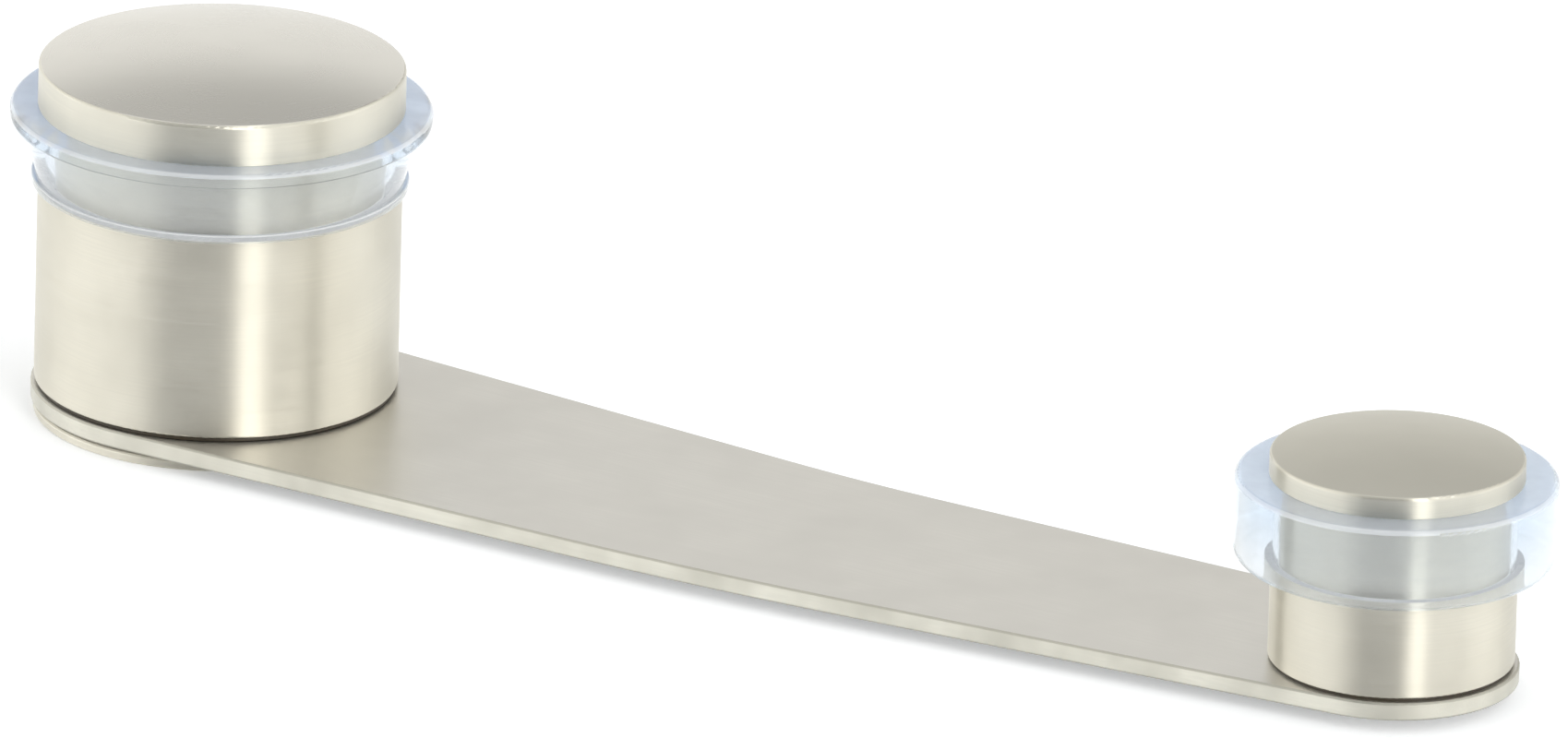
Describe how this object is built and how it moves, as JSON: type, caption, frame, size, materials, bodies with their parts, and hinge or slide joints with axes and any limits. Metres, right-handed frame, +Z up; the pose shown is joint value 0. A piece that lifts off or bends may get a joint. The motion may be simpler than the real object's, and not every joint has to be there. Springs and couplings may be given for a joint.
{
  "type": "floor door holder",
  "caption": "Floor-fixed door holder: a large post with a clear bumper ring, and a flat arm swinging round its foot that carries a small ringed post to trap the door leaf between them.",
  "frame": {"origin": "on the large post's axis, in the underside of the base disc, at floor level", "axes": "+Z up along the post and swivel axis, +X along the arm from the large post to the small post at rest, +Y towards the hollow side of the arm"},
  "size_m": [0.1426, 0.0348, 0.0316],
  "materials": {
    "satin_steel": "satin brushed stainless steel",
    "hidden_steel": "plain turned steel",
    "spring_steel": "oiled spring steel",
    "black_oxide": "black oxide",
    "clear_elastomer": "clear, smooth",
    "bronze": "plain bearing bronze",
    "dark_plastic": "smooth dark acetal",
    "pad": "smooth low-friction plastic"
  },
  "bodies": {
    "large_post": {"base_disc": "satin_steel", "pivot_hub": "hidden_steel", "lower_glide_washer": "dark_plastic", "upper_glide_washer": "dark_plastic", "pressure_ring": "hidden_steel", "lower_disc_spring": "spring_steel", "upper_disc_spring": "spring_steel", "large_post_body": "satin_steel", "post_set_screw": "black_oxide", "large_cap_lock_washer": "spring_steel", "large_cap_screw": "black_oxide", "large_bumper_ring": "clear_elastomer", "large_post_cap": "satin_steel"},
    "swing_arm": {"arm_plate": "satin_steel", "arm_bush": "bronze", "small_post_washer": "dark_plastic", "small_post_body": "satin_steel", "small_bumper_ring": "clear_elastomer", "small_post_cap": "satin_steel", "small_post_screw": "hidden_steel", "arm_glide_pad": "pad"}
  },
  "joints": [
    {"name": "arm_swivel", "type": "hinge", "parent": "large_post", "child": "swing_arm", "pos_m": [0, 0, 0], "axis": [0, 0, 1], "continuous": true}
  ]
}
